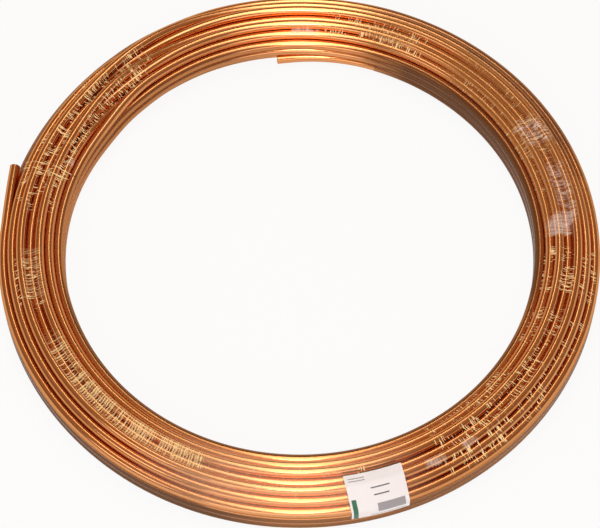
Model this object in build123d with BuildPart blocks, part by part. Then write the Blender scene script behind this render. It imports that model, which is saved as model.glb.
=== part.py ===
"""A coil of soft copper tube, wrapped in clear stretch film, with a paper label. Millimetres, +Z up."""

import os
from math import cos, radians, sin, sqrt

from build123d import *

# The tube: outside diameter and wall
tube_diameter = 12.0
tube_wall = 1.0

# The winding: the eye, the turns stacked in each layer outwards, how firmly they touch, and their flats
eye_diameter = 543.0
rows_in_layer = (3, 4, 4, 4, 4, 4, 3)
turn_press = 0.1
turn_flats = 6

# The free ends: where each tip stands around the coil, the bend that takes it off its layer and its straight
outer_tip_angle = 161.6
outer_bend_radius = 1500.0
outer_bend_angle = 3.3
outer_straight = 15.0
inner_tip_angle = 95.7
inner_bend_radius = 230.0
inner_bend_angle = 25.0
inner_straight = 15.0

# The stretch film: all its layers together, its slack over the tube, and the slits for the two tips
film_thickness = 0.2
film_slack = 0.1
slit_margin = 1.0
slit_run = 6.0

# The paper label: width along the coil, where it starts, how far it hangs down, and where it sits
label_width = 70.0
label_start = 36.0
label_drop = 16.0
label_angle = -75.3
label_thickness = 0.2
label_slack = 0.3

tube_radius = tube_diameter / 2
bore_radius = tube_radius - tube_wall
pitch = tube_diameter - turn_press
layer_pitch = pitch * sqrt(3) / 2
coil_base = film_thickness + film_slack
layer_count = len(rows_in_layer)
coil_top = coil_base + tube_diameter + pitch * (max(rows_in_layer) - 0.5)


def layer_radius(layer):
    """Radius of a layer's centre line around the coil's axis."""
    return eye_diameter / 2 + tube_radius + layer * layer_pitch


def turn_height(layer, row):
    """Height of a turn's centre line; every second layer sits half a turn higher, in the grooves."""
    lift = pitch / 2 if layer % 2 == 0 else 0
    return coil_base + tube_radius + row * pitch + lift


def closed_rows(layer):
    """Rows of a layer that run all the way round; the first and last turns of the winding don't."""
    first = 1 if layer == 0 else 0
    last = rows_in_layer[layer] - (1 if layer == layer_count - 1 else 0)
    return range(first, last)


def turn_outline(radius):
    """Outline of one turn in the section: flats around the round tube, level ones at its top and sides."""
    RegularPolygon(radius, turn_flats, major_radius=False, rotation=90 - 180 / turn_flats)


def turn_reach(facing):
    """How far the bundle's turns reach from the coil's axis towards one side of the section."""
    out = Vector(*around(1, facing))
    flat_turn = 360 / turn_flats
    off_flat = (facing - 90 + flat_turn / 2) % flat_turn - flat_turn / 2
    reach = tube_radius * cos(radians(abs(off_flat) - flat_turn / 2)) / cos(radians(flat_turn / 2))
    turns = [(layer, row) for layer in range(layer_count) for row in range(rows_in_layer[layer])]
    return out, reach + max(Vector(layer_radius(i), turn_height(i, j)).dot(out) for i, j in turns)


def taut_section(clearance):
    """Outline of a skin drawn tight round the bundle, clear of the tube all round."""
    sides = [turn_reach(facing) for facing in (0, 60, 90, 120, 180, 240, 270, 300)]
    corners = []
    for (a, reach_a), (b, reach_b) in zip(sides, sides[1:] + sides[:1]):
        far_a, far_b = reach_a + clearance, reach_b + clearance
        turn = a.X * b.Y - a.Y * b.X
        corners.append(((far_a * b.Y - far_b * a.Y) / turn, (a.X * far_b - b.X * far_a) / turn))
    Polygon(*corners, align=None)


def open_turn(layer, row, beside, step):
    """Section of a turn that ends part of the way round, closed up to the turns that it lies against."""
    radius, height = layer_radius(layer), turn_height(layer, row)
    with Locations((radius, height)):
        turn_outline(tube_radius)
    Polygon(
        (radius, height),
        (radius, height + step),
        (layer_radius(beside), height + step / 2),
        (layer_radius(beside), height - step / 2),
        align=None,
    )


def around(radius, angle):
    """Point on a circle around the coil's axis."""
    return (radius * cos(radians(angle)), radius * sin(radians(angle)))


def section_plane(angle):
    """Upright plane through the coil's axis, facing clockwise, with its X outwards and its Y up."""
    return Plane((0, 0, 0), (*around(1, angle), 0), (*around(1, angle - 90), 0))


def end_swing(radius, bend_radius, bend_angle, straight):
    """Angle around the coil from where an end leaves its layer to its tip, past its bend and its straight."""
    bend_end = Vector(radius - bend_radius, 0) + Vector(bend_radius, 0).rotate(Axis.Z, bend_angle)
    tip = bend_end + Vector(0, straight).rotate(Axis.Z, bend_angle)
    return tip.get_angle(Vector(1, 0))


# The last turn opens out of the outermost layer, at its top
outer_radius = layer_radius(layer_count - 1)
outer_height = turn_height(layer_count - 1, rows_in_layer[-1] - 1)
outer_swing = end_swing(outer_radius, outer_bend_radius, outer_bend_angle, outer_straight)
outer_leave = outer_tip_angle + outer_swing
outer_centre = (*around(outer_radius - outer_bend_radius, outer_leave), outer_height)
with BuildLine() as outer_end:
    outer_lead = CenterArc(outer_centre, outer_bend_radius, outer_leave, -outer_bend_angle)
    outer_tip = Line(outer_lead @ 1, outer_lead @ 1 + outer_lead % 1 * outer_straight)

# The first turn bends inwards out of the innermost layer, at its bottom
inner_radius = layer_radius(0)
inner_height = turn_height(0, 0)
inner_swing = end_swing(inner_radius, inner_bend_radius, inner_bend_angle, inner_straight)
inner_leave = inner_tip_angle - inner_swing
inner_centre = (*around(inner_radius - inner_bend_radius, inner_leave), inner_height)
with BuildLine() as inner_end:
    inner_lead = CenterArc(inner_centre, inner_bend_radius, inner_leave, inner_bend_angle)
    inner_tip = Line(inner_lead @ 1, inner_lead @ 1 + inner_lead % 1 * inner_straight)

# The copper tube: the closed turns are one turned section, and the first and last turns end in open tips
with BuildPart() as copper_tube:
    with BuildSketch(Plane.XZ) as section:
        for layer in range(layer_count):
            with Locations(*[(layer_radius(layer), turn_height(layer, row)) for row in closed_rows(layer)]):
                turn_outline(tube_radius)
        for layer in range(layer_count - 1):
            near = [turn_height(layer, row) for row in closed_rows(layer)]
            far = [turn_height(layer + 1, row) for row in closed_rows(layer + 1)]
            near_fit = [h for h in near if min(far) - pitch < h < max(far) + pitch]
            far_fit = [h for h in far if min(near) - pitch < h < max(near) + pitch]
            Polygon(
                (layer_radius(layer), near_fit[0]),
                (layer_radius(layer + 1), far_fit[0]),
                (layer_radius(layer + 1), far_fit[-1]),
                (layer_radius(layer), near_fit[-1]),
                align=None,
            )
    revolve(axis=Axis.Z)
    with BuildSketch(section_plane(outer_leave - 360)):
        open_turn(layer_count - 1, rows_in_layer[-1] - 1, layer_count - 2, -pitch)
    revolve(axis=Axis.Z, revolution_arc=inner_tip_angle + 360 - outer_leave)
    with BuildSketch(section_plane(outer_leave - 360)):
        open_turn(0, 0, 1, pitch)
    revolve(axis=Axis.Z, revolution_arc=inner_leave + 360 - outer_leave)
    for leave, lead, tip in ((outer_leave, outer_lead, outer_tip), (inner_leave, inner_lead, inner_tip)):
        with BuildSketch(Plane(lead @ 0, (*around(1, leave), 0), lead % 0)):
            turn_outline(tube_radius)
        sweep(path=lead)
        with BuildSketch(Plane(tip @ 1, z_dir=-(tip % 1))):
            Circle(tube_radius)
        extrude(amount=tip.length)
        with BuildSketch(Plane(tip @ 1, z_dir=-(tip % 1))):
            Circle(bore_radius)
        extrude(amount=tip.length, mode=Mode.SUBTRACT)
copper_tube.part.label = "copper_tube"

# The stretch film: a taut skin round the whole bundle, slit where the two tips come through it
with BuildPart() as stretch_film:
    with BuildSketch(Plane.XZ) as film_section:
        with BuildSketch(Plane.XZ, mode=Mode.PRIVATE) as film_outside:
            taut_section(film_slack + film_thickness)
        with BuildSketch(Plane.XZ, mode=Mode.PRIVATE) as film_inside:
            taut_section(film_slack)
        add(film_outside.sketch)
        add(film_inside.sketch, mode=Mode.SUBTRACT)
    revolve(axis=Axis.Z)
    with BuildSketch(section_plane(inner_leave)):
        with Locations((inner_radius, inner_height)):
            Rectangle(2 * tube_diameter, tube_diameter + 2 * slit_margin, align=(Align.MAX, Align.CENTER))
    revolve(axis=Axis.Z, revolution_arc=inner_tip_angle - inner_leave + slit_run, mode=Mode.SUBTRACT)
    with BuildSketch(section_plane(outer_tip_angle - slit_run)):
        with Locations((outer_radius, outer_height)):
            Rectangle(2 * tube_diameter, tube_diameter + 2 * slit_margin, align=(Align.MIN, Align.CENTER))
    revolve(axis=Axis.Z, revolution_arc=outer_leave - outer_tip_angle + slit_run, mode=Mode.SUBTRACT)
stretch_film.part.label = "stretch_film"

# The paper label: lies on the film, follows it over the coil's outer shoulder and hangs down its side
label_seat = film_slack + film_thickness + label_slack
label_inside = eye_diameter / 2 + label_start
label_outside = outer_radius + 2 * tube_diameter
label_top = 2 * coil_top
label_foot = outer_height - label_drop
label_out = (*around(1, label_angle), 0)
with BuildPart() as paper_label:
    with BuildSketch(Plane.XZ):
        with BuildSketch(Plane.XZ, mode=Mode.PRIVATE) as label_face:
            taut_section(label_seat + label_thickness)
        with BuildSketch(Plane.XZ, mode=Mode.PRIVATE) as label_back:
            taut_section(label_seat)
        add(label_face.sketch)
        add(label_back.sketch, mode=Mode.SUBTRACT)
        with Locations((0, label_foot)):
            Rectangle(2 * label_outside, label_top, align=(Align.CENTER, Align.MIN), mode=Mode.INTERSECT)
    revolve(axis=Axis.Z)
    with BuildSketch(Plane((0, 0, 0), label_out, (0, 0, 1))):
        with Locations((label_inside, 0)):
            Rectangle(label_outside, label_width, align=(Align.MIN, Align.CENTER))
    extrude(amount=label_top, mode=Mode.INTERSECT)
paper_label.part.label = "paper_label"

os.makedirs("parts", exist_ok=True)
export_step(copper_tube.part, "parts/copper_tube.step")
export_step(stretch_film.part, "parts/stretch_film.step")
export_step(paper_label.part, "parts/paper_label.step")
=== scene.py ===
# %% [markdown]
# This lesson dresses a coil of soft copper tube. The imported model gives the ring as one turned
# solid, a taut film and a label. Here the ring becomes what it is on the real object: one long
# tube, wound turn by turn, under a clear film that catches the light in fine wrinkles.

import math

import bpy
import numpy as np
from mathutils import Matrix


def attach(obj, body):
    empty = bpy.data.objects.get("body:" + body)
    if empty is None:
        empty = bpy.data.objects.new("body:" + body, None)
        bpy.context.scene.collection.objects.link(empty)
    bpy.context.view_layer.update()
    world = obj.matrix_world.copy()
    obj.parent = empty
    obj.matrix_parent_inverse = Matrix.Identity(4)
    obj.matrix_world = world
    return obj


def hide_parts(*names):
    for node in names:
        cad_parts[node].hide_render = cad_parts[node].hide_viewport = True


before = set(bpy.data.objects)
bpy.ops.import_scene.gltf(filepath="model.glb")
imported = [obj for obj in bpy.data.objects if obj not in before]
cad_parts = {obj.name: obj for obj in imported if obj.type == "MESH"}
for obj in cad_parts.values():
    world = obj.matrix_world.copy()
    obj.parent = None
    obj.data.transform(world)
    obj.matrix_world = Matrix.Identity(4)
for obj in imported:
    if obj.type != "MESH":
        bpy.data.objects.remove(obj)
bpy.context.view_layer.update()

# %% [markdown]
# The winding has seven layers. Each layer is a stack of turns, and every second layer sits half
# a turn higher, in the grooves of the one before. The tube goes up one layer and down the next,
# so the list of places below is also the order in which the tube fills them.

# %% Places of the turns in the section
TUBE_RADIUS = 0.006
PITCH = 0.0119
LAYER_PITCH = PITCH * math.sqrt(3) / 2
EYE_RADIUS = 0.2715
BASE = 0.0003
ROWS = (3, 4, 4, 4, 4, 4, 3)


def turn_place(layer, row):
    """Radius and height of a turn's centre line."""
    lift = PITCH / 2 if layer % 2 == 0 else 0
    return EYE_RADIUS + TUBE_RADIUS + layer * LAYER_PITCH, BASE + TUBE_RADIUS + row * PITCH + lift


places = []
place_layers = []
for layer, rows in enumerate(ROWS):
    order = range(rows) if layer % 2 == 0 else reversed(range(rows))
    for row in order:
        places.append(turn_place(layer, row))
        place_layers.append(layer)
places = np.array(places)
print("turns", len(places), "from", places[0], "to", places[-1])

# %% [markdown]
# Seen from above the tube runs clockwise, from the inner tip to the outer tip. A turn keeps its
# place for most of the way round and then crosses to the next place in a short zone. The layers
# cross one after another, so the bundle never has to open up all at once.

# %% Wanted path of the tube, before it settles
STATIONS = 160
INNER_TIP = 95.7
OUTER_TIP = 161.6
CROSSING = 326
CROSSING_RUN = 40
CROSSING_STEP = 5.0
MIDDLE_LAYER = 3
turn_count = len(places)
last_station = (turn_count - 1) * STATIONS + (INNER_TIP + 360 - OUTER_TIP) / 360 * STATIONS
path_index = np.arange(turn_count * STATIONS)
turn_of = path_index // STATIONS
run = (path_index % STATIONS) * 360 / STATIONS
world_angle = np.radians(INNER_TIP - run)
crossing_centre = CROSSING + (np.array(place_layers)[turn_of] - MIDDLE_LAYER) * CROSSING_STEP
crossing = np.clip((run - crossing_centre + CROSSING_RUN / 2) / CROSSING_RUN, 0, 1)
crossing = crossing * crossing * (3 - 2 * crossing)
next_turn = np.minimum(turn_of + 1, turn_count - 1)
wanted = places[turn_of] * (1 - crossing)[:, None] + places[next_turn] * crossing[:, None]
print("path of", round(last_station / STATIONS, 2), "turns")

# %% [markdown]
# Wound tube never lies quite true. Two small waves round each turn, each with its own start, move
# the path sideways and up and down by less than a millimetre.

# %% A little waver in each turn
hand = np.random.default_rng(12)
waver = hand.uniform(0, 2 * math.pi, (turn_count, 4))[turn_of]


def sway(broad, fine, start):
    """Two waves round a turn; each has its size and how often it comes in a turn."""
    return (
        broad[0] * np.sin(broad[1] * world_angle + waver[:, start])
        + fine[0] * np.sin(fine[1] * world_angle + waver[:, start + 1])
    )


wanted[:, 0] += sway((0.0005, 3), (0.0003, 7), 0)
wanted[:, 1] += sway((0.0004, 2), (0.0003, 5), 2)
print("wavering path from", wanted.min(axis=0).round(4), "to", wanted.max(axis=0).round(4))

# %% [markdown]
# Both ends are free. The inner one bends into the eye and runs straight to its tip. The outer one
# opens out of the ring. Each is drawn once from above as an arc and a straight line, and the path
# then takes its radius from that drawing at each angle.

# %% The two free ends
INNER_BEND_RADIUS = 0.230
INNER_BEND = 25.0
OUTER_BEND_RADIUS = 1.5
OUTER_BEND = 3.3
STRAIGHT = 0.015


def end_radius(radius, bend_radius, bend_angle, straight):
    """Angles from where an end leaves the ring, and the radius of its path there."""
    turn = np.linspace(0, math.radians(bend_angle), 60)
    x = radius - bend_radius + bend_radius * np.cos(turn)
    y = bend_radius * np.sin(turn)
    on = np.linspace(0, straight, 40)[1:]
    x = np.append(x, x[-1] - on * math.sin(turn[-1]))
    y = np.append(y, y[-1] + on * math.cos(turn[-1]))
    return np.arctan2(y, x), np.hypot(x, y)


inner_angles, inner_radii = end_radius(places[0, 0], INNER_BEND_RADIUS, INNER_BEND, STRAIGHT)
outer_angles, outer_radii = end_radius(places[-1, 0], OUTER_BEND_RADIUS, OUTER_BEND, STRAIGHT)
inner_swing = inner_angles[-1]
outer_swing = outer_angles[-1]
from_tip = np.radians(path_index * 360 / STATIONS)
in_inner_end = from_tip <= inner_swing
wanted[in_inner_end, 0] = np.interp(inner_swing - from_tip, inner_angles, inner_radii)[in_inner_end]
wanted[in_inner_end, 1] = places[0, 1]
to_tip = np.radians((last_station - path_index) * 360 / STATIONS)
in_outer_end = (to_tip <= outer_swing) & (to_tip >= 0)
wanted[in_outer_end, 0] = np.interp(outer_swing - to_tip, outer_angles, outer_radii)[in_outer_end]
wanted[in_outer_end, 1] = places[-1, 1]
past_tip = path_index > last_station
held = in_inner_end | in_outer_end | past_tip
print("stations in the ends", int(in_inner_end.sum()), int(in_outer_end.sum()))

# %% [markdown]
# Turns can't pass through each other. Where the wanted path would let them, they are pushed apart
# until they only press a little, step by step, and the tube is smoothed along its length after
# each push because copper doesn't kink. The floor holds the lowest turns up. A physics run could do
# this too, but turns only move within the section, so a short loop is enough and always ends alike.

# %% Settle the turns against each other
FAR = 9.0
ROUNDS = 220
PUSH = 0.35
PULL_BACK = 0.015
SMOOTHING = 0.2
settled = wanted.copy()
settled[past_tip] = FAR + turn_of[past_tip][:, None]
for settling in range(ROUNDS):
    stack = settled.reshape(turn_count, STATIONS, 2)
    apart = stack[:, None] - stack[None, :]
    distance = np.linalg.norm(apart, axis=3)
    overlap = np.clip(2 * TUBE_RADIUS - distance, 0, None)
    overlap[np.arange(turn_count), np.arange(turn_count)] = 0
    push = (apart * (overlap / np.maximum(distance, 1e-6))[..., None]).sum(axis=1) * PUSH
    moved = settled + push.reshape(-1, 2) + (wanted - settled) * PULL_BACK
    moved[1:-1] = moved[1:-1] * (1 - 2 * SMOOTHING) + (moved[:-2] + moved[2:]) * SMOOTHING
    moved[:, 1] = np.maximum(moved[:, 1], BASE + TUBE_RADIUS)
    settled = np.where(held[:, None], settled, moved)
stack = settled.reshape(turn_count, STATIONS, 2)
gaps = np.linalg.norm(stack[:, None] - stack[None, :], axis=3) + FAR * np.eye(turn_count)[..., None]
print("deepest press between turns, mm", round(float(2 * TUBE_RADIUS - gaps.min()) * 1000, 2))

# %% [markdown]
# The tube could be modelled by spinning a ring of points, but a coil isn't a plain screw: its
# pitch changes all along. A curve with a round bevel follows any path, so the path becomes a
# curve, and the curve becomes a mesh whose points run ring by ring along the tube.

# %% The tube along its path
SIDES = 16
points = np.flatnonzero(~past_tip)
xyz = np.column_stack([
    settled[points, 0] * np.cos(world_angle[points]),
    settled[points, 0] * np.sin(world_angle[points]),
    settled[points, 1],
])
bpy.ops.object.select_all(action="DESELECT")
path = bpy.data.curves.new("copper_winding", "CURVE")
path.dimensions = "3D"
path.twist_mode = "Z_UP"
path.bevel_depth = TUBE_RADIUS
path.bevel_resolution = (SIDES - 4) // 2
path.use_fill_caps = False
line = path.splines.new("POLY")
line.points.add(len(xyz) - 1)
line.points.foreach_set("co", np.column_stack([xyz, np.ones(len(xyz))]).ravel())
winding = bpy.data.objects.new("copper_winding", path)
bpy.context.collection.objects.link(winding)
bpy.context.view_layer.objects.active = winding
winding.select_set(True)
bpy.ops.object.convert(target="MESH")
winding = bpy.context.view_layer.objects.active
ring_points = len(winding.data.vertices) // len(xyz)
tube_length = float(np.linalg.norm(np.diff(xyz, axis=0), axis=1).sum())
print("tube of", round(tube_length, 2), "m,", ring_points, "points in a ring")

# %% [markdown]
# A pattern that follows the tube needs to know where it is along the tube and around it. Each
# point keeps that as an attribute: the length run so far, and its place on the tube's own circle.
# The circle has no seam, so neither has the pattern.

# %% Where each point lies on the tube
so_far = np.concatenate([[0], np.cumsum(np.linalg.norm(np.diff(xyz, axis=0), axis=1))])
turned = np.arange(ring_points) * 2 * math.pi / ring_points
along = np.repeat(so_far, ring_points)
around = np.tile(turned, len(xyz))
place = winding.data.attributes.new("on_tube", "FLOAT_VECTOR", "POINT")
place.data.foreach_set(
    "vector",
    np.column_stack([along, TUBE_RADIUS * np.cos(around), TUBE_RADIUS * np.sin(around)]).ravel(),
)
print("attribute on", len(place.data), "points")

# %% [markdown]
# The two tips were sawn off square and show the tube's wall. A boolean could cut the bore, but
# extruding keeps the rings of points clean. In edit mode the ring of edges at each tip is extruded
# inwards to the bore, and then back into the tube.

# %% Open the two tips
WALL = 0.001
BORE_DEPTH = 0.05
SHARP_EDGE = math.radians(40)
bpy.ops.object.mode_set(mode="EDIT")
bpy.ops.mesh.select_mode(type="VERT")
for first, centre, inward in (
    (0, xyz[0], xyz[3] - xyz[0]),
    ((len(xyz) - 1) * ring_points, xyz[-1], xyz[-4] - xyz[-1]),
):
    bpy.ops.mesh.select_all(action="DESELECT")
    bpy.ops.object.mode_set(mode="OBJECT")
    for n in range(first, first + ring_points):
        winding.data.vertices[n].select = True
    bpy.ops.object.mode_set(mode="EDIT")
    share = 1 - WALL / TUBE_RADIUS
    bpy.ops.mesh.extrude_region_move()
    bpy.ops.transform.resize(value=(share, share, share), center_override=tuple(centre))
    bpy.ops.mesh.extrude_region_move()
    bpy.ops.transform.translate(value=tuple(inward / np.linalg.norm(inward) * BORE_DEPTH))
bpy.ops.mesh.select_all(action="SELECT")
bpy.ops.mesh.normals_make_consistent(inside=False)
bpy.ops.object.mode_set(mode="OBJECT")
bpy.ops.object.shade_smooth_by_angle(angle=SHARP_EDGE)
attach(winding, "root")
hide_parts("copper_tube")
print("winding has", len(winding.data.polygons), "faces")

# %% [markdown]
# Materials are built from nodes. These helpers add a node and set its values, so that the cells
# below read as a list of steps.

# %% Helpers for nodes


def new_material(name):
    """An empty material with its shader, ready for more nodes."""
    material = bpy.data.materials.new(name)
    material.use_nodes = True
    tree = material.node_tree
    return material, tree, tree.nodes["Principled BSDF"]


def step(tree, kind, settings=None, **inputs):
    """Adds one node; each input is a value or the socket that feeds it, and i0 is the first one."""
    node = tree.nodes.new("ShaderNode" + kind)
    for name, value in (settings or {}).items():
        setattr(node, name, value)
    for name, value in inputs.items():
        by_number = name[0] == "i" and name[1:].isdigit()
        socket = node.inputs[int(name[1:]) if by_number else name]
        if isinstance(value, bpy.types.NodeSocket):
            tree.links.new(value, socket)
        else:
            socket.default_value = value
    return node


def ramp(tree, fac, stops):
    """A colour ramp through (position, colour) stops."""
    node = step(tree, "ValToRGB", Fac=fac)
    bar = node.color_ramp
    while len(bar.elements) < len(stops):
        bar.elements.new(0.5)
    for element, (position, colour) in zip(bar.elements, stops):
        element.position = position
        element.color = (*colour, 1)
    return node.outputs["Color"]


def between(tree, value, low, high, start=0.0, end=1.0):
    """A value spread from one range to another and kept inside it."""
    return step(tree, "MapRange", Value=value, i1=low, i2=high, i3=start, i4=end).outputs["Result"]


def noise(tree, where, scale, detail, roughness=0.5):
    """Noise; a scale of three numbers stretches it."""
    if isinstance(scale, tuple):
        where = step(tree, "Mapping", Vector=where, Scale=scale).outputs["Vector"]
        scale = 1.0
    grain = step(tree, "TexNoise", Vector=where, Scale=scale, Detail=detail, Roughness=roughness)
    return grain.outputs["Fac"]


def attribute(tree, name, output="Fac"):
    """A mask or a place that the piece's points carry."""
    return step(tree, "Attribute", {"attribute_name": name}).outputs[output]


print("helpers for nodes ready")

# %% [markdown]
# Bright drawn copper is a clean metal. Its colour drifts slowly along the tube, from a redder to a
# more golden tone, and the drawing die leaves fine lines along it. A picture of copper would repeat
# and show a seam. Noise that is stretched along the tube does neither, so it makes the tone, and the
# lines that feed the roughness and a faint bump.

# %% Bright drawn copper
copper, tree, shader = new_material("bright_drawn_copper")
on_tube = attribute(tree, "on_tube", "Vector")
tone = noise(tree, on_tube, (1.7, 60, 60), 3.0, 0.55)
colour = ramp(tree, tone, [
    (0.3, (0.63, 0.245, 0.085)),
    (0.52, (0.69, 0.29, 0.112)),
    (0.72, (0.75, 0.345, 0.15)),
])
tree.links.new(colour, shader.inputs["Base Color"])
lines = noise(tree, on_tube, (6, 1500, 1500), 2.0, 0.6)
rough = between(tree, lines, 0.3, 0.7, 0.1, 0.18)
tree.links.new(rough, shader.inputs["Roughness"])
bump = step(tree, "Bump", Strength=0.02, Distance=0.0002, Height=lines).outputs["Normal"]
tree.links.new(bump, shader.inputs["Normal"])
shader.inputs["Metallic"].default_value = 1.0
shader.inputs["Specular Tint"].default_value = (0.75, 0.45, 0.25, 1)
winding.data.materials.clear()
winding.data.materials.append(copper)
print("copper nodes", len(tree.nodes))

# %% [markdown]
# The film is a narrow clear strip, stretched and wound round the bundle through the eye. It bridges
# from turn to turn and only dips a little into the grooves. A shrinkwrap would follow every groove,
# so its outline is worked out instead. First come the turns that lie under the film at each angle.

# %% Turns under the film at each angle
FILM_STATIONS = 480
centre_r, centre_z = places.mean(axis=0)
film_angle = np.linspace(0, 2 * math.pi, FILM_STATIONS, endpoint=False)
body_turns = stack.copy()
body_turns[held.reshape(turn_count, STATIONS)] = (centre_r, centre_z)
column = (math.radians(INNER_TIP) - film_angle) / (2 * math.pi) * STATIONS % STATIONS
low = np.floor(column).astype(int) % STATIONS
part = (column - np.floor(column))[None, :, None]
next_start = np.concatenate([body_turns[1:, :1], body_turns[-1:, -1:]])
ahead = np.concatenate([body_turns[:, 1:], next_start], axis=1)
turns_there = body_turns[:, low] * (1 - part) + ahead[:, low] * part
offset = turns_there - np.array([centre_r, centre_z])
print("turns under the film", offset.shape[0], "at", offset.shape[1], "angles")

# %% [markdown]
# Two outlines are found from those turns: the bundle's own bumpy one, and that of a skin drawn
# tight over it. The film hangs between the two, nearer to the tight one.

# %% Outline of the film
FILM_POINTS = 112
FILM_SIDES = 180
FILM_GAP = 0.00025
FILM_DIP = 0.3
LEAST_LEAN = 0.05
face = np.linspace(0, 2 * math.pi, FILM_POINTS, endpoint=False)
side = np.linspace(0, 2 * math.pi, FILM_SIDES, endpoint=False)
reach = TUBE_RADIUS + FILM_GAP
facing = np.column_stack([np.cos(face), np.sin(face)])
across = offset @ facing.T
off_line = (offset ** 2).sum(axis=2)[..., None] - across ** 2
half_chord = np.sqrt(np.clip(reach ** 2 - off_line, 0, None))
bumpy = np.where(off_line < reach ** 2, across + half_chord, -1).max(axis=0)
support = (offset @ np.column_stack([np.cos(side), np.sin(side)]).T).max(axis=0) + reach
lean = np.cos(side[:, None] - face[None, :])[None]
taut = support[:, :, None] / np.maximum(lean, LEAST_LEAN)
taut = np.where(lean > LEAST_LEAN, taut, FAR).min(axis=1)
film_reach = np.maximum(bumpy, taut - FILM_DIP * (taut - np.maximum(bumpy, 0)))
film_r = centre_r + film_reach * np.cos(face)
film_z = np.maximum(centre_z + film_reach * np.sin(face), 0.0)
print("film reaches radius", round(float(film_r.max()), 4), "and height", round(float(film_z.max()), 4))

# %% [markdown]
# A torus has the right net of faces for a skin round a ring. It is added as a primitive with one
# ring of points for each angle, and its points are then moved onto the film's outline.

# %% The film's skin
BUNDLE_RADIUS = 0.03
bpy.ops.object.select_all(action="DESELECT")
bpy.ops.mesh.primitive_torus_add(
    major_segments=FILM_STATIONS,
    minor_segments=FILM_POINTS,
    major_radius=centre_r,
    minor_radius=BUNDLE_RADIUS,
)
film = bpy.context.view_layer.objects.active
film.name = "stretch_film_skin"
film.data.name = "stretch_film_skin"
count = len(film.data.vertices)
net = np.empty(count * 3)
film.data.vertices.foreach_get("co", net)
net = net.reshape(-1, 3)
net_angle = np.arctan2(net[:, 1], net[:, 0]) / (2 * math.pi)
net_face = np.arctan2(net[:, 2], np.hypot(net[:, 0], net[:, 1]) - centre_r) / (2 * math.pi)
at_angle = np.round(net_angle * FILM_STATIONS).astype(int) % FILM_STATIONS
at_face = np.round(net_face * FILM_POINTS).astype(int) % FILM_POINTS
skin_r = film_r[at_angle, at_face]
skin = np.column_stack([
    skin_r * np.cos(film_angle[at_angle]),
    skin_r * np.sin(film_angle[at_angle]),
    film_z[at_angle, at_face],
])
film.data.vertices.foreach_set("co", skin.ravel())
film.data.update()
print("film has", len(film.data.polygons), "faces")

# %% [markdown]
# The two tips come out through slits. The faces of the film that lie on the free ends are deleted,
# so that the tube passes through an opening instead of through the skin.

# %% Slits for the two tips
SLIT_REACH = 0.0078
free_end = xyz[np.flatnonzero((in_inner_end | in_outer_end)[points])]
gap_to_end = np.full(count, FAR)
for spot in free_end:
    gap_to_end = np.minimum(gap_to_end, np.linalg.norm(skin - spot, axis=1))
bpy.ops.object.mode_set(mode="EDIT")
bpy.ops.mesh.select_mode(type="VERT")
bpy.ops.mesh.select_all(action="DESELECT")
bpy.ops.object.mode_set(mode="OBJECT")
kept = gap_to_end >= SLIT_REACH
film.data.vertices.foreach_set("select", ~kept)
bpy.ops.object.mode_set(mode="EDIT")
bpy.ops.mesh.delete(type="VERT")
bpy.ops.object.mode_set(mode="OBJECT")
at_angle, at_face, skin = at_angle[kept], at_face[kept], skin[kept]
print("points left out at the slits", int((~kept).sum()))

# %% [markdown]
# The film is nearly invisible where it lies smooth. It shows where it is wrinkled across the tubes
# and where it is drawn into close rungs like a ladder, and there it gets painted glints. It shows
# where several layers lie together and look milky. Over the upper right lies a darker haze, partly
# film and partly painted shade, and at the front lies a broad painted glare. These places could be
# painted by hand. Here each mask is made from a list of patches with an angle round the coil, a
# lane across it and a strength, so that every number can be read and changed.

# %% Helpers for masks on the film
UPPER_FROM = 0.028
UPPER_FADE = 0.008
film_way = np.degrees(film_angle[at_angle])
film_lane = np.hypot(skin[:, 0], skin[:, 1])
film_height = skin[:, 2]


def fade(value, width):
    """0 below nothing, 1 from a width upwards, and even in between."""
    return np.clip(value / width, 0, 1)


def away_from(angle):
    """Degrees round the coil from an angle, either way."""
    return np.abs((film_way - angle + 180) % 360 - 180)


def patches(spots, edge=5):
    """Sum of soft-edged patches; each is (angle, half angle, lane radius, half lane, strength)."""
    total = np.zeros(len(skin))
    upper = fade(film_height - UPPER_FROM, UPPER_FADE)
    for angle, half, lane, half_lane, strength in spots:
        along_ring = np.clip((1 - away_from(angle) / half) * edge + 0.5, 0, 1)
        across_ring = np.clip((1 - np.abs(film_lane - lane) / half_lane) * edge * 0.7 + 0.5, 0, 1)
        total += strength * along_ring * across_ring * upper
    return np.clip(total, 0, 1)


print("film from lane", round(float(film_lane.min()), 4), "to", round(float(film_lane.max()), 4))

# %% Wrinkles and rungs
wrinkled = patches([
    (-9, 6, 0.311, 0.036, 0.7),
    (-24, 6, 0.305, 0.036, 0.6),
    (-49, 12, 0.313, 0.034, 1.0),
    (-36, 5, 0.316, 0.02, 1.0),
    (150, 24, 0.308, 0.024, 0.8),
    (72, 12, 0.299, 0.014, 0.9),
    (-168, 6, 0.312, 0.016, 0.9),
    (30, 22, 0.312, 0.036, 0.34),
    (-110.5, 1.2, 0.303, 0.010, 1.0),
    (-77, 0.9, 0.302, 0.008, 1.0),
])
ladder = patches([
    (-131, 22, 0.3055, 0.0105, 1.0),
    (-170, 6, 0.307, 0.011, 0.4),
    (68, 6, 0.298, 0.01, 0.7),
])
print("wrinkled", round(float(wrinkled.mean()), 3), "and laddered", round(float(ladder.mean()), 3))
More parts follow.
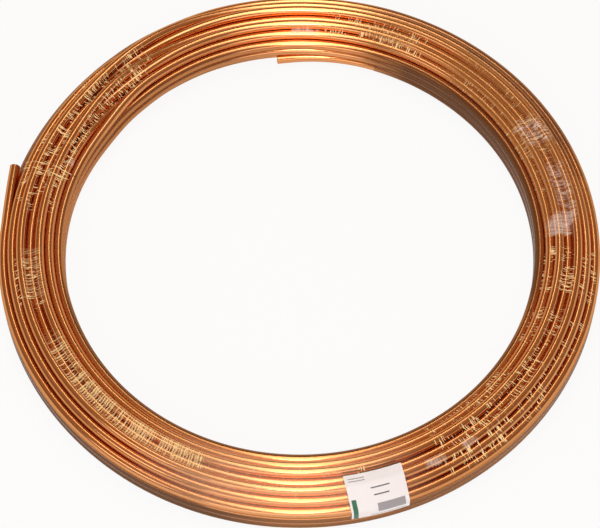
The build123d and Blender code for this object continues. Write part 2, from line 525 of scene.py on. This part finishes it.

# %% Milky places, haze with painted shade, and painted glare
milky = patches([
    (12, 8, 0.311, 0.016, 0.75),
    (2, 3, 0.299, 0.019, 1.0),
    (27, 5, 0.312, 0.03, 0.7),
    (88.6, 4.2, 0.287, 0.005, 1.0),
    (160, 1.6, 0.285, 0.005, 0.9),
    (176.7, 0.8, 0.300, 0.004, 0.8),
    (-63, 3, 0.321, 0.007, 0.9),
    (-55, 2.2, 0.321, 0.006, 0.9),
], edge=1.5)
# A darker veil over the top of the upper right of the ring: partly film haze, partly painted shade.
haze_and_shade = patches([
    (15, 12, 0.309, 0.04, 0.7),
    (37, 14, 0.312, 0.04, 0.9),
    (61, 13, 0.316, 0.04, 0.6),
], edge=2)
# Painted glare: a broad warm reflection of the flash over the front of the film.
painted_glare = patches([(-94, 22, 0.308, 0.05, 1.0)], edge=1.2)
print("milky", round(float(milky.mean()), 3), "and hazy", round(float(haze_and_shade.mean()), 3))

# %% [markdown]
# On the walls of the ring the film looks dense and brown. That is partly dense film and partly
# painted shade, which stands in for the darker room that real walls mirror. The mask is the
# strongest of four places: the eye's wall, the outer wall, the far shoulder and the near rim of the
# eye. Another mask tells how deep a point hangs over a groove, because loose film wrinkles more
# there than on the crests.

# %% Thick film with painted shade on the walls, and film over the grooves
GROOVE_DEPTH = 0.0012
EYE_WALL = 0.2835
EYE_WALL_TOP = 0.045
OUTER_WALL = 0.336
OUTER_WALL_TOP = 0.038
SHOULDER = 0.326
RIM = 0.2785
RIM_FOOT = 0.030
# Walls of the ring: partly dense film, partly painted shade that stands in for a darker room mirrored in
# them.
eye_wall = fade(EYE_WALL - film_lane, 0.003) * fade(EYE_WALL_TOP - film_height, 0.004)
eye_wall *= np.maximum(fade(54 - away_from(24), 16), 0.35 * fade(65 - away_from(150), 20))
outer_wall = fade(film_lane - OUTER_WALL, 0.003) * fade(OUTER_WALL_TOP - film_height, 0.008)
outer_wall *= 0.75 + 0.25 * fade(42 - away_from(-135), 12)
shoulder = 0.55 * fade(film_lane - SHOULDER, 0.004) * fade(34 - away_from(47), 10)
rim = 0.75 * fade(RIM - film_lane, 0.003) * fade(film_height - RIM_FOOT, 0.004)
rim *= fade(85 - away_from(-95), 20)
thick_film_and_shade = np.max([eye_wall, outer_wall, shoulder, rim], axis=0)
groove = fade((film_reach - bumpy)[at_angle, at_face], GROOVE_DEPTH)
print("thick share", round(float(thick_film_and_shade.mean()), 3))

# %% [markdown]
# The points of the film carry the masks as attributes, and two places beside them: one on a round
# ring, which has no seam, and one unrolled flat, for lines that cross the tubes. Film this clear
# darkens almost nothing, so here it casts no shadow and stays out of reflections.

# %% Keep the masks on the film
RING_RADIUS = 0.31
section_step = np.hypot(
    np.diff(film_r, axis=1, append=film_r[:, :1]),
    np.diff(film_z, axis=1, append=film_z[:, :1]),
)
round_section = np.cumsum(section_step, axis=1)[at_angle, at_face]
ring_angle = film_angle[at_angle]
on_ring = [RING_RADIUS * np.cos(ring_angle), RING_RADIUS * np.sin(ring_angle), round_section]
on_flat = [RING_RADIUS * ring_angle, round_section, np.zeros(len(skin))]
film_masks = {
    "wrinkled": wrinkled,
    "ladder": ladder,
    "milky": milky,
    "thick_film_and_shade": thick_film_and_shade,
    "groove": groove,
    "haze_and_shade": haze_and_shade,
    "painted_glare": painted_glare,
}
for name, values in film_masks.items():
    mask = film.data.attributes.new(name, "FLOAT", "POINT")
    mask.data.foreach_set("value", values)
for name, columns in (("on_film", on_ring), ("unrolled", on_flat)):
    place = film.data.attributes.new(name, "FLOAT_VECTOR", "POINT")
    place.data.foreach_set("vector", np.column_stack(columns).ravel())
bpy.ops.object.shade_smooth()
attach(film, "root")
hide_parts("stretch_film")
film.visible_shadow = False
film.visible_glossy = False
print("attributes", [a.name for a in film.data.attributes if a.name in film_masks])

# %% [markdown]
# The film's pattern is a sum of several others. Each of these helpers does one step of such a sum:
# it multiplies, adds, takes the largest, marks a band or lays one colour over another.

# %% Helpers for sums of patterns


def times(tree, a, b):
    """Product of two values."""
    return step(tree, "Math", {"operation": "MULTIPLY"}, i0=a, i1=b).outputs["Value"]


def plus(tree, a, b):
    """Sum of two values."""
    return step(tree, "Math", {"operation": "ADD"}, i0=a, i1=b).outputs["Value"]


def larger(tree, first, *others):
    """The largest of some values."""
    for other in others:
        first = step(tree, "Math", {"operation": "MAXIMUM"}, i0=first, i1=other).outputs["Value"]
    return first


def band(tree, value, middle, half):
    """1 where a value lies within half a width of a middle, and 0 elsewhere."""
    return step(tree, "Math", {"operation": "COMPARE"}, i0=value, i1=middle, i2=half).outputs["Value"]


def blend(tree, share, first, second):
    """A colour between two; a share of 1 gives the second."""
    return step(tree, "Mix", {"data_type": "RGBA"}, i0=share, i6=first, i7=(*second, 1)).outputs[2]


print("helpers for sums ready")

# %% [markdown]
# Clear film needs very little of its own: a low alpha, a smooth gloss and a wrinkle bump. Wrinkles
# run across the tubes, so their noise is fine along the ring and coarse round the section. Where a
# wrinkle stands up, the same noise raises the alpha and the film gets a painted glint there, gold
# and nearly opaque. The rungs of the ladder are a wave mixed with noise, because a plain wave looks
# printed, and they get the same painted glint.

# %% Loose strokes, painted as glints
clear_film, tree, shader = new_material("clear_stretch_film")
on_film = attribute(tree, "on_film", "Vector")
unrolled = attribute(tree, "unrolled", "Vector")
masks = {name: attribute(tree, name) for name in film_masks}

strokes = noise(tree, on_film, (760, 760, 95), 1.0)
clumps = noise(tree, on_film, 75.0, 2.0)
loose = times(tree, between(tree, strokes, 0.57, 0.61), between(tree, clumps, 0.38, 0.52))
loose = times(tree, loose, masks["wrinkled"])
loose = times(tree, loose, between(tree, masks["groove"], 0.0, 0.6, 0.35, 1.1))
loose = between(tree, loose, 0.25, 0.75)
print("film nodes with strokes", len(tree.nodes))

# %% Regular rungs, painted as glints
slant = step(tree, "Mapping", Vector=unrolled, Rotation=(0, 0, -0.12)).outputs["Vector"]
wave_kind = {"wave_type": "BANDS", "bands_direction": "X"}
wave = step(tree, "TexWave", wave_kind, Vector=slant, Scale=95.0, Distortion=3.0, i3=1.0, i4=6.0)
bars = noise(tree, on_film, (300, 300, 22), 1.0)
rungs = plus(tree, times(tree, wave.outputs["Fac"], 0.3), bars)
rung_light = between(tree, strokes, 0.3, 0.6, 0.35, 1.0)
regular = times(tree, between(tree, rungs, 0.6, 0.78, 0.0, 0.85), rung_light)
regular = times(tree, regular, masks["ladder"])
print("film nodes with rungs", len(tree.nodes))

# %% [markdown]
# A crease is a single line right across the tubes, where an edge of the strip lies, and it gets a
# painted glint. It could be a narrow strip of mesh, but a thin band in the unrolled place is
# simpler, and noise bends it.

# %% Creases
CREASE_ANGLES = (162.4, 164.0, 25.0, 29.5)
CREASE_BEND = 0.012
CREASE_HALF = 0.0006
bent = noise(tree, on_film, 30.0, 1.0)
way = step(tree, "SeparateXYZ", Vector=unrolled).outputs["X"]
way = plus(tree, times(tree, bent, CREASE_BEND), way)
crease_ways = [RING_RADIUS * math.radians(angle) + CREASE_BEND / 2 for angle in CREASE_ANGLES]
crease = larger(tree, *[band(tree, way, middle, CREASE_HALF) for middle in crease_ways])
crease = times(tree, crease, between(tree, clumps, 0.35, 0.6, 0.0, 0.8))
print("creases", len(crease_ways))

# %% [markdown]
# Milky places are a cloud with streaks in it. The strongest of strokes, rungs and creases with their
# painted glints, cloud, haze with its painted shade, painted glare and thick film with its painted
# shade sets the alpha, and what is left of the film stays almost clear.

# %% Milky places, and how clear the film is
CLEAR_ALPHA = 0.006
THICK_FILM_AND_SHADE_ALPHA = 0.9
blotch = noise(tree, on_film, 160.0, 6.0, 0.7)
fan = noise(tree, on_film, (520, 520, 70), 2.0, 0.6)
cloud = plus(tree, times(tree, blotch, 0.8), times(tree, fan, 0.9))
cloud = plus(tree, cloud, masks["milky"])
veiled = between(tree, cloud, 1.5, 2.1, 0.0, 0.6)

bright = larger(tree, loose, regular, crease, veiled)
bright = between(tree, bright, 0.0, 0.9, CLEAR_ALPHA, 1.0)
# Painted shade: the haze's alpha lays a dark veil over the upper right.
haze_and_shade_alpha = times(tree, between(tree, blotch, 0.3, 0.7, 0.3, 0.85), masks["haze_and_shade"])
# Alpha of the painted glare at the front.
painted_glare_alpha = times(tree, between(tree, blotch, 0.3, 0.7, 0.22, 0.38), masks["painted_glare"])
alpha = larger(tree, bright, haze_and_shade_alpha, painted_glare_alpha, times(tree, masks["thick_film_and_shade"], THICK_FILM_AND_SHADE_ALPHA))
tree.links.new(alpha, shader.inputs["Alpha"])
print("film nodes with alpha", len(tree.nodes))

# %% [markdown]
# Most of the film's colour is painted light: a gold painted glint where a stroke, rung or crease
# would catch the light, a warm painted glare at the front, a dark orange haze that is partly film
# and partly painted shade, and a dark brown on the walls that is partly dense film and partly
# painted shade. Where the film is milky it is near white. Each colour is laid over the one before
# by its own mask.

# %% Colours of the film
# Painted glint in gold where a stroke would catch the light; the ramp's dark low end is the painted
# shade of the haze.
painted_light_colour = ramp(tree, loose, [(0.0, (0.36, 0.15, 0.045)), (0.3, (1.0, 0.72, 0.34))])
# Inside the haze the colour stays the dark orange painted shade of the ramp's low end.
outside_haze_and_shade = between(tree, masks["haze_and_shade"], 0.0, 0.1, 1.0, 0.0)
painted_glint_share = larger(tree, loose, crease, regular, outside_haze_and_shade)
# Painted glint in gold on strokes, rungs and creases.
painted_light_colour = blend(tree, painted_glint_share, painted_light_colour, (1.0, 0.75, 0.38))
# Painted glare: a warm reflection of the flash, laid where there are no strokes.
no_strokes = between(tree, larger(tree, loose, regular), 0.0, 0.3, 1.0, 0.0)
painted_glare_share = times(tree, between(tree, masks["painted_glare"], 0.0, 0.1), no_strokes)
painted_light_colour = blend(tree, painted_glare_share, painted_light_colour, (0.95, 0.6, 0.38))
white = blend(tree, between(tree, veiled, 0.0, 0.25), painted_light_colour, (0.95, 0.82, 0.74))
# Dark brown on the walls: partly dense film, partly painted shade.
brown = blend(tree, between(tree, masks["thick_film_and_shade"], 0.0, 0.1), white, (0.1, 0.041, 0.018))
tree.links.new(brown, shader.inputs["Base Color"])
bump = step(tree, "Bump", Strength=0.1, Distance=0.0005, Height=strokes).outputs["Normal"]
tree.links.new(bump, shader.inputs["Normal"])
shader.inputs["Roughness"].default_value = 0.16
shader.inputs["Specular IOR Level"].default_value = 0.04
shader.inputs["Specular Tint"].default_value = (1, 0.55, 0.3, 1)
film.data.materials.clear()
film.data.materials.append(clear_film)
print("film nodes in all", len(tree.nodes))

# %% [markdown]
# The label is a sheet of coated paper, stuck on the film over the outer shoulder. It starts as a
# flat plane with rounded corners. Cuts through it give it enough points to bend, and each point is
# then laid on the film, at its own distance along the ring and over the shoulder.

# %% The label as a flat sheet
LABEL_WIDTH = 0.065
LABEL_LENGTH = 0.061
LABEL_ANGLE = -75.3
CORNER = 0.0015
CUTS = 30
bpy.ops.object.select_all(action="DESELECT")
bpy.ops.mesh.primitive_plane_add(size=1)
label = bpy.context.view_layer.objects.active
label.name = "paper_label_sheet"
label.data.name = "paper_label_sheet"
bpy.ops.object.mode_set(mode="EDIT")
bpy.ops.transform.resize(value=(LABEL_WIDTH, LABEL_LENGTH, 1))
bpy.ops.mesh.select_mode(type="VERT")
bpy.ops.mesh.select_all(action="SELECT")
bpy.ops.mesh.bevel(offset=CORNER, segments=4, affect="VERTICES")
for n in range(1, CUTS):
    bpy.ops.mesh.select_all(action="SELECT")
    bpy.ops.mesh.bisect(plane_co=((n / CUTS - 0.5) * LABEL_WIDTH, 0, 0), plane_no=(1, 0, 0))
    bpy.ops.mesh.select_all(action="SELECT")
    bpy.ops.mesh.bisect(plane_co=(0, (n / CUTS - 0.5) * LABEL_LENGTH, 0), plane_no=(0, 1, 0))
bpy.ops.object.mode_set(mode="OBJECT")
print("label has", len(label.data.polygons), "faces")

# %% [markdown]
# Paper is stiffer than film, so the label follows the taut outline and not the grooves. Cloth could
# drape it, but stuck paper simply takes the form under it. The outline at the label's place is walked
# from the top, over the shoulder and down the side.

# %% Lay the label on the film
LABEL_START = 0.3075
LABEL_LIFT = 0.0006
STATIONS_UNDER = 8
near = int(round((LABEL_ANGLE % 360) / 360 * FILM_STATIONS)) % FILM_STATIONS
sheet_reach = taut[near - STATIONS_UNDER:near + STATIONS_UNDER + 1].max(axis=0) + LABEL_LIFT
outline = np.column_stack([centre_r + sheet_reach * np.cos(face), centre_z + sheet_reach * np.sin(face)])
walk = outline[np.argsort(-face)]
walk = walk[np.argmax((walk[:, 0] > LABEL_START) & (walk[:, 1] > centre_z)):]
walked = np.concatenate([[0], np.cumsum(np.hypot(*np.diff(walk, axis=0).T))])
flat = np.empty(len(label.data.vertices) * 3)
label.data.vertices.foreach_get("co", flat)
flat = flat.reshape(-1, 3)
down = LABEL_LENGTH / 2 - flat[:, 1]
sheet_r = np.interp(down, walked, walk[:, 0])
sheet_z = np.interp(down, walked, walk[:, 1])
sheet_angle = math.radians(LABEL_ANGLE) + flat[:, 0] / sheet_r
laid = np.column_stack([sheet_r * np.cos(sheet_angle), sheet_r * np.sin(sheet_angle), sheet_z])
label.data.vertices.foreach_set("co", laid.ravel())
label.data.update()
place = label.data.attributes.new("on_label", "FLOAT_VECTOR", "POINT")
place.data.foreach_set("vector", flat.ravel())
print("label lies from", laid.min(axis=0).round(3), "to", laid.max(axis=0).round(3))

# %% Give the paper its thickness
PAPER_THICKNESS = 0.0002
bpy.ops.object.mode_set(mode="EDIT")
bpy.ops.mesh.select_all(action="SELECT")
bpy.ops.mesh.normals_make_consistent(inside=False)
bpy.ops.object.mode_set(mode="OBJECT")
bpy.ops.object.modifier_add(type="SOLIDIFY")
label.modifiers[-1].thickness = PAPER_THICKNESS
label.modifiers[-1].offset = 0
bpy.ops.object.modifier_apply(modifier=label.modifiers[-1].name)
bpy.ops.object.shade_smooth_by_angle(angle=SHARP_EDGE)
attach(label, "root")
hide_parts("paper_label")
print("label has", len(label.data.polygons), "faces with its back")

# %% [markdown]
# Coated paper is white with a soft sheen. Faint fibres and a little waviness keep it from looking
# like plastic. The print is plain: a few rules, a grey panel and a green band.

# %% Coated paper
paper, tree, shader = new_material("coated_label_paper")
on_label = attribute(tree, "on_label", "Vector")
fibre = noise(tree, on_label, 900.0, 4.0)
printed = ramp(tree, fibre, [(0.3, (0.9, 0.89, 0.92)), (0.7, (0.95, 0.94, 0.97))])
spot = step(tree, "SeparateXYZ", Vector=on_label).outputs
for x, y, half_width, half_height, ink in (
    (-0.0275, -0.014, 0.0026, 0.0165, (0.03, 0.16, 0.09)),
    (-0.0195, 0.0255, 0.009, 0.0005, (0.3, 0.29, 0.31)),
    (-0.0195, 0.0225, 0.009, 0.0005, (0.3, 0.29, 0.31)),
    (0.004, 0.012, 0.0105, 0.0007, (0.12, 0.11, 0.12)),
    (0.004, 0.004, 0.0085, 0.0007, (0.12, 0.11, 0.12)),
    (0.0125, -0.0115, 0.0155, 0.006, (0.36, 0.34, 0.37)),
    (0.0085, -0.0225, 0.0195, 0.0005, (0.3, 0.29, 0.31)),
):
    inside = times(tree, band(tree, spot["X"], x, half_width), band(tree, spot["Y"], y, half_height))
    printed = blend(tree, inside, printed, ink)
tree.links.new(printed, shader.inputs["Base Color"])
waves = noise(tree, on_label, 60.0, 2.0)
bump = step(tree, "Bump", Strength=0.15, Distance=0.001, Height=waves).outputs["Normal"]
tree.links.new(bump, shader.inputs["Normal"])
shader.inputs["Roughness"].default_value = 0.45
label.data.materials.clear()
label.data.materials.append(paper)
print("paper nodes", len(tree.nodes))

# %% [markdown]
# The coil lies on a plain pale floor. For the camera, in reflections and through clear pieces the
# floor is nearly white by itself, and a share of real shading is left in it, so that the coil keeps
# its shadow.

# %% Floor
FLOOR_SIZE = 14
FLOOR_HEIGHT = -0.0005
OWN_WHITE = 0.9
bpy.ops.object.select_all(action="DESELECT")
bpy.ops.mesh.primitive_plane_add(size=FLOOR_SIZE, location=(0, 0, FLOOR_HEIGHT))
floor = bpy.context.view_layer.objects.active
floor.name = "floor"
bpy.ops.object.transform_apply(location=True, rotation=True, scale=True)
pale, tree, shader = new_material("pale_floor")
shader.inputs["Base Color"].default_value = (0.9, 0.9, 0.9, 1)
shader.inputs["Roughness"].default_value = 0.9
rays = step(tree, "LightPath").outputs
seen = larger(tree, rays["Is Camera Ray"], rays["Is Glossy Ray"], rays["Is Transmission Ray"])
share = times(tree, seen, OWN_WHITE)
own_light = step(tree, "Emission", Color=(1, 1, 1, 1), Strength=1.0).outputs["Emission"]
mixed = step(tree, "MixShader", i0=share, i1=shader.outputs["BSDF"], i2=own_light).outputs["Shader"]
tree.links.new(mixed, tree.nodes["Material Output"].inputs["Surface"])
floor.data.materials.append(pale)
print("floor of", FLOOR_SIZE, "m")

# %% [markdown]
# Bright metal shows what is around it. A picture of a room could be its surroundings, but a
# gradient is easier to read and to change. The sky is pale at the horizon, and dimmer and warmer
# overhead, as in a room, because an even white sky would make the tubes look flat.

# %% Sky
world = bpy.data.worlds.new("studio")
bpy.context.scene.world = world
world.use_nodes = True
tree = world.node_tree
height = step(tree, "SeparateXYZ", Vector=step(tree, "TexCoord").outputs["Generated"]).outputs["Z"]
room = ramp(tree, height, [
    (0.0, (0.97, 0.97, 0.97)),
    (0.2, (0.95, 0.94, 0.93)),
    (0.42, (0.24, 0.155, 0.095)),
    (0.95, (0.42, 0.29, 0.19)),
])
tree.links.new(room, tree.nodes["Background"].inputs["Color"])
print("sky nodes", len(tree.nodes))

# %% [markdown]
# A long lamp hangs over the coil, with a narrower one behind it and a wide, dim panel above. Every
# turn mirrors them as a bright line along its crest. A card and a small flash in front widen that
# line into a glare at the front and the back of the ring, where the tube runs across the view. A
# fill from the left keeps the label bright.

# %% Lamps


def lamp(name, place, aim, size, watts, colour):
    """A rectangular soft lamp at a place, aimed at a point."""
    bpy.ops.object.light_add(type="AREA", location=place)
    made = bpy.context.view_layer.objects.active
    made.name = name
    way = np.array(aim) - np.array(place)
    tilt = math.acos(-way[2] / np.linalg.norm(way))
    made.rotation_euler = (tilt, 0, math.atan2(way[1], way[0]) - math.pi / 2)
    made.data.shape = "RECTANGLE"
    made.data.size, made.data.size_y = size
    made.data.energy = watts
    made.data.color = colour
    return made


lamp("front_strip", (0, -0.35, 2.45), (0, 0, 0), (0.5, 2.0), 11, (0.97, 0.98, 1))
lamp("rear_strip", (0, 1.25, 2.4), (0, 0, 0), (0.12, 0.9), 1.9, (0.94, 1, 0.8))
lamp("front_card", (0, -2.4, 1.3), (0, -0.3, 0.03), (2.4, 1.2), 14, (1, 0.97, 0.95))
lamp("panel", (0, 0.1, 2.5), (0, 0, 0), (0.9, 2.8), 7, (0.97, 0.98, 1))
lamp("flash", (0, -1.39, 2.42), (0, 0, 0.03), (0.4, 0.4), 8, (0.97, 0.98, 1))
lamp("fill", (-1.6, -1.2, 1.8), (0, 0, 0), (0.9, 0.9), 5, (0.95, 0.98, 1))

# %% [markdown]
# The camera stands in front of the coil and well above it, with a long lens. The frame is 600 by
# 528, and a small shift puts the ring in its place in the frame.

# %% Camera
AIM = np.array([0.0, 0.0, 0.027])
DISTANCE = 2.558
ELEVATION = math.radians(59.6)
FRAME_WIDTH = 600
FOCAL_PIXELS = 2215
SHIFT_PIXELS = (0.6, -19.3)
bpy.ops.object.camera_add(
    location=(0, -DISTANCE * math.cos(ELEVATION), AIM[2] + DISTANCE * math.sin(ELEVATION)),
    rotation=(math.pi / 2 - ELEVATION, 0, 0),
)
camera = bpy.context.view_layer.objects.active
camera.data.sensor_fit = "HORIZONTAL"
camera.data.sensor_width = 36
camera.data.lens = FOCAL_PIXELS / FRAME_WIDTH * camera.data.sensor_width
camera.data.shift_x = SHIFT_PIXELS[0] / FRAME_WIDTH
camera.data.shift_y = SHIFT_PIXELS[1] / FRAME_WIDTH
camera.data.clip_end = 50
bpy.context.scene.camera = camera
bpy.context.scene.view_settings.view_transform = "Standard"
print("lens", round(camera.data.lens, 1), "mm")
